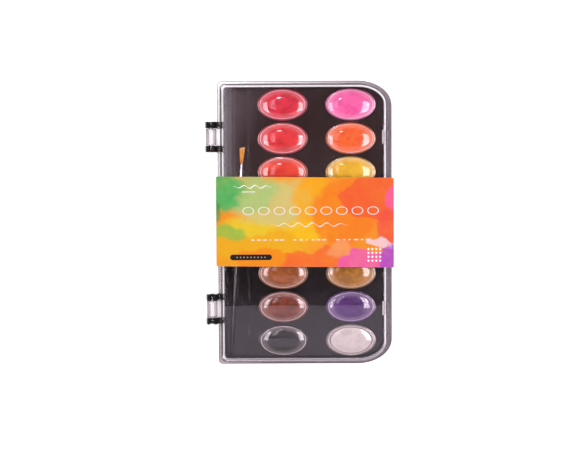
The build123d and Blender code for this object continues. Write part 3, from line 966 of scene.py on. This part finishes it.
for order, (name, colours) in enumerate(paintSets.items()):
    middle = centreOf("pan_" + name)
    makePan(name, middle, panMaterial(name, colours, middle))
    makePaint(name, middle, paintMaterial(name, colours, order * paintLook["seedStep"], middle), order)
print("pans and paints made")


# Brush

brushShape = {"lean": 3.34, "handle": 114.0, "ferrule": 30.0, "bristle": 12.0, "endRadius": 1.15}
ferruleProfile = [(0.0, 1.95), (0.0, 2.2), (0.15, 2.28), (2.2, 2.27), (2.5, 2.12), (3.0, 2.12), (3.3, 2.27),
                  (4.6, 2.26), (4.9, 2.10), (5.4, 2.10), (5.7, 2.25), (12.0, 2.22), (16.0, 2.17),
                  (19.0, 2.08), (22.0, 1.90), (25.0, 1.68), (28.0, 1.46), (29.6, 1.36), (29.9, 1.33),
                  (30.0, 1.25), (30.0, 1.06), (29.0, 1.05), (25.0, 1.2), (8.2, 1.92), (0.3, 1.93)]
ferruleSteps = 48
# The hairs start inside the ferrule. Their corners are angles
tuftShape = {"strands": 760, "rings": 7, "rootRadius": 0.98, "hidden": 0.6, "slant": 0.5, "ragged": 0.35,
             "rounding": 0.2, "bow": 0.10, "spreadX": 2.05, "spreadZ": 0.8, "spreadPower": 1.15,
             "swell": 0.25, "thickness": 0.045, "taper": 0.55, "corners": (0.5, 2.6, 4.7), "seed": 11}
goldenAngle = math.pi * (3 - math.sqrt(5))


def brushAxis():
    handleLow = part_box("brush_handle")[0]
    lean = math.radians(brushShape["lean"])
    start = Vector((handleLow[0] + brushShape["endRadius"] * mm, handleLow[1], centreOf("brush_ferrule").z))
    return start, Vector((math.sin(lean), math.cos(lean), 0))


def alongBrush(start, direction, distance, across=0.0, height=0.0):
    sideways = Vector((direction.y, -direction.x, 0))
    return start + direction * distance * mm + sideways * across * mm + Vector((0, 0, height * mm))


def makeFerrule(material, start, direction):
    angles = [math.tau * i / ferruleSteps for i in range(ferruleSteps)]
    rings = []
    for distance, radius in ferruleProfile:
        rings.append([alongBrush(start, direction, brushShape["handle"] + distance,
                                 radius * math.cos(angle), radius * math.sin(angle)) for angle in angles])
    mesh = meshFrom(*bridgeRings(rings + [rings[0]], False, False))
    ferrule = dress("crimped_ferrule", mesh, material, "brush", ("brush_ferrule",), 40)
    work = bmesh.new()
    work.from_mesh(ferrule.data)
    bmesh.ops.remove_doubles(work, verts=work.verts, dist=1e-7)
    work.to_mesh(ferrule.data)
    work.free()


def makeTuft(material, start, direction):
    shape = tuftShape
    chance = random.Random(shape["seed"])
    mouth = brushShape["handle"] + brushShape["ferrule"] - shape["hidden"]
    corners = len(shape["corners"])
    verts, faces = [], []
    for strand in range(shape["strands"]):
        share = math.sqrt((strand + 0.5) / shape["strands"])
        rootX = shape["rootRadius"] * share * math.cos(strand * goldenAngle)
        rootZ = shape["rootRadius"] * share * math.sin(strand * goldenAngle)
        length = brushShape["bristle"] + shape["hidden"] + shape["slant"] * rootX
        length -= chance.uniform(0, shape["ragged"]) + shape["rounding"] * share
        bow = chance.uniform(-shape["bow"], shape["bow"])
        first = len(verts)
        for ring in range(shape["rings"]):
            t = ring / (shape["rings"] - 1)
            spreading = t ** shape["spreadPower"]
            swing = math.sin(math.pi * t)
            across = rootX * (1 + (shape["spreadX"] - 1) * spreading) + bow * swing
            height = rootZ * (1 + (shape["spreadZ"] - 1) * spreading + shape["swell"] * swing)
            size = shape["thickness"] * (1 - shape["taper"] * t ** 3)
            for corner in shape["corners"]:
                verts.append(alongBrush(start, direction, mouth + length * t,
                                        across + size * math.cos(corner), height + size * math.sin(corner)))
            if ring:
                low = first + (ring - 1) * corners
                for i in range(corners):
                    j = (i + 1) % corners
                    faces.append((low + i, low + j, low + corners + j, low + corners + i))
        faces.append((first, first + 2, first + 1))
        last = first + (shape["rings"] - 1) * corners
        faces.append((last, last + 1, last + 2))
    mesh = meshFrom(verts, faces)
    tuft = dress("golden_tuft", mesh, material, "brush", ("brush_bristles",), 80)


brushStart, brushWay = brushAxis()
rootAt = brushShape["handle"] + brushShape["ferrule"]
rootPoint = alongBrush(brushStart, brushWay, rootAt)
tipPoint = alongBrush(brushStart, brushWay, rootAt + brushShape["bristle"])
setMaterial(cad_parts["brush_handle"].data, lacquerMaterial(lacquerLook, brushShape["lean"]))
makeFerrule(ferruleMaterial(ferruleLook), brushStart, brushWay)
makeTuft(hairMaterial(hairLook, rootPoint.y, tipPoint.y), brushStart, brushWay)
print("brush made")


# Card sleeve

sleeveShape = {"length": 66.7, "card": 0.35, "crease": 0.7, "columns": 44, "rows": 20, "skew": 0.62,
               "bow": 0.12, "bowEdge": 3, "bowX": 0.03, "bowY": 0.05}


def sleevePath(low, high, upward):
    # Points round the outside of the card, from one free edge over the panel to the other
    radius, columns = sleeveShape["crease"], sleeveShape["columns"]
    left, right = low[0] / mm, high[0] / mm
    bottom, top = low[2] / mm, high[2] / mm
    path = [(right, bottom), (right, (bottom + top - radius) / 2)]
    path += arcSteps((right - radius, top - radius), radius, 0, 90, 5)
    path += [(right + (left - right) * i / columns, top) for i in range(1, columns)]
    path += arcSteps((left + radius, top - radius), radius, 90, 180, 5)
    path += [(left, (bottom + top - radius) / 2), (left, bottom)]
    if upward:
        return path
    return [(left + right - x, bottom + top - z) for x, z in path]     # the back half is turned over


def inwardOf(path):
    # The same path, one card thickness further in
    inner = []
    for i, (x, z) in enumerate(path):
        before = path[max(i - 1, 0)]
        after = path[min(i + 1, len(path) - 1)]
        along = Vector((after[0] - before[0], after[1] - before[1])).normalized()
        inner.append((x - along.y * sleeveShape["card"], z + along.x * sleeveShape["card"]))
    return inner


def sleeveBow(x, along, left, width):
    # How far the front panel sinks between its creases
    inside = 1 - abs(2 * (x - left) / width - 1)
    wave = noise.noise(Vector((x * sleeveShape["bowX"], along * sleeveShape["bowY"], 1)))
    return sleeveShape["bow"] * min(1.0, inside * sleeveShape["bowEdge"]) * (0.5 + 0.5 * wave)


def makeSleeve(name, nodeName, body, material, middle, upward):
    low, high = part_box(nodeName)
    left, width = low[0] / mm, (high[0] - low[0]) / mm
    slope = math.tan(math.radians(sleeveShape["skew"]))
    rows = sleeveShape["rows"]
    outer = sleevePath(low, high, upward)
    loop = outer + inwardOf(outer)[::-1]
    rings = []
    for row in range(rows + 1):
        along = sleeveShape["length"] / 2 * (2 * row / rows - 1)
        ring = []
        for x, z in loop:
            y = along - (x - middle.x / mm) * slope
            sink = sleeveBow(x, along, left, width) if upward else 0.0
            ring.append(Vector((x * mm, middle.y + y * mm, (z - sink) * mm)))
        rings.append(ring)
    sleeve = dress(name, meshFrom(*bridgeRings(rings)), material, body, (nodeName,), 40)


sleeveMiddle = centreOf("sleeve_front")
for half, upward in (("front", True), ("back", False)):
    cardSide = cardMaterial("card" + half.capitalize(), sleeveMiddle, upward)
    makeSleeve("card_sleeve_" + half, "sleeve_" + half, "card_" + half, cardSide, sleeveMiddle, upward)
print("card sleeve made")


# Studio: pale floor, soft light, camera

studio = {"floor": 0.95, "floorGlow": 0.45, "floorRough": 0.7, "floorReach": 0.9,
          "skyColour": (1.0, 0.93, 0.96, 1.0), "sky": 0.34, "horizon": 0.03, "skyBand": (0.30, 0.60),
          "zenith": 0.03, "zenithBand": (0.93, 0.985),
          "cameraHeight": 0.9, "tilt": 2.4, "roll": 0.25, "sensor": 36.0, "clip": (0.01, 20),
          "pixelSize": 0.75, "imageWide": 579, "lookAt": (-11.4, -2.6, 10.0)}
# Place, aim, width, length, watts and colour of each lamp. A slanted lamp's width runs along Y
lamps = {
    "leftSoftbox": ((-0.30, 0.01, 0.85), (0, 0, 0), 0.42, 0.15, 2.1, (1.0, 0.98, 0.99)),
    "rightSoftbox": ((0.32, 0.01, 0.85), (0, 0, 0), 0.44, 0.19, 3.4, (1.0, 0.98, 0.99)),
    "dotLamp": ((-0.08, 0.42, 1.35), (0, 0, 0), 0.07, 0.07, 2.0, (1.0, 1.0, 1.0)),
    "lowCard": ((0.0, -0.42, 1.6), (0, -0.42, 0), 1.2, 0.375, 1.20, (0.96, 0.87, 1.0)),
    "warmCard": ((0.0, 0.19, 1.6), (0, 0.19, 0), 1.2, 0.40, 0.42, (1.0, 0.50, 0.48)),
}
# Strips one below the other, each reaching less far to the right and brighter than the one above
strips = {"count": 4, "edge": -0.117, "step": 0.008, "width": 0.12, "length": 0.42, "y": 0.17,
          "height": 1.58, "drop": 0.01, "power": 0.055, "colour": (0.98, 0.92, 1.0)}


def makeFloor():
    reach = studio["floorReach"]
    corners = [(-reach, -reach, 0), (reach, -reach, 0), (reach, reach, 0), (-reach, reach, 0)]
    mesh = bpy.data.meshes.new("floor")
    mesh.from_pydata(corners, [], [(0, 1, 2, 3)])
    material, tree, shader = newMaterial("paleFloor", {
        "Base Color": (studio["floor"],) * 3 + (1.0,), "Roughness": studio["floorRough"],
        "Emission Color": (1.0, 1.0, 1.0, 1.0), "Emission Strength": studio["floorGlow"]})
    below = place(tree, "NewGeometry").outputs["Backfacing"]     # seen from below, the floor is clear
    clear = place(tree, "BsdfTransparent")
    either = place(tree, "MixShader", None, {0: below, 1: shader.outputs[0], 2: clear.outputs[0]})
    connect(tree, tree.nodes["Material Output"].inputs, {"Surface": either.outputs[0]})
    setMaterial(mesh, material)
    addObject("floor", mesh)


def areaLight(name, spot, aim, sizeX, sizeY, power, colour):
    data = bpy.data.lights.new(name, "AREA")
    data.shape = "RECTANGLE"
    data.size, data.size_y = sizeX, sizeY
    data.energy, data.color = power, colour
    light = addObject(name, data)
    light.location = spot
    light.rotation_euler = (Vector(aim) - Vector(spot)).to_track_quat("-Z", "Y").to_euler()


def makeSky():
    world = bpy.data.worlds.new("studio")
    bpy.context.scene.world = world
    world.use_nodes = True
    tree = world.node_tree
    upward = splitVector(tree, place(tree, "TexCoord").outputs["Generated"])["Z"]
    low = remap(tree, upward, *studio["skyBand"], studio["horizon"], studio["sky"], smooth=True)
    high = remap(tree, upward, *studio["zenithBand"], 0.0, studio["sky"] - studio["zenith"], smooth=True)
    connect(tree, tree.nodes["Background"].inputs, {
        "Strength": minus(tree, low, high), "Color": studio["skyColour"]})


def makeLamps():
    for name, lamp in lamps.items():
        areaLight(name, *lamp)
    y = strips["y"]
    for i in range(strips["count"]):
        x = strips["edge"] - i * strips["step"] - strips["width"] / 2
        areaLight("leftStrip" + str(i), (x, y, strips["height"] - i * strips["drop"]), (x, y, 0),
                  strips["width"], strips["length"], strips["power"] * (i + 1), strips["colour"])


def makeCamera():
    camera = addObject("camera", bpy.data.cameras.new("camera"))
    bpy.context.scene.camera = camera
    tilt, roll = math.radians(studio["tilt"]), math.radians(studio["roll"])
    distance, sensor = studio["cameraHeight"], studio["sensor"]
    target = Vector(metres(studio["lookAt"])) + Vector((middleX, 0, 0))
    camera.location = target + Vector((0, math.sin(tilt), math.cos(tilt))) * distance
    camera.rotation_euler = (-tilt, 0, -roll)
    camera.data.sensor_width = sensor
    camera.data.lens = sensor * distance / (studio["imageWide"] * studio["pixelSize"] * mm)
    camera.data.clip_start, camera.data.clip_end = studio["clip"]
    bpy.context.scene.view_settings.view_transform = "Standard"


makeFloor()
makeSky()
makeLamps()
makeCamera()
print("studio set")
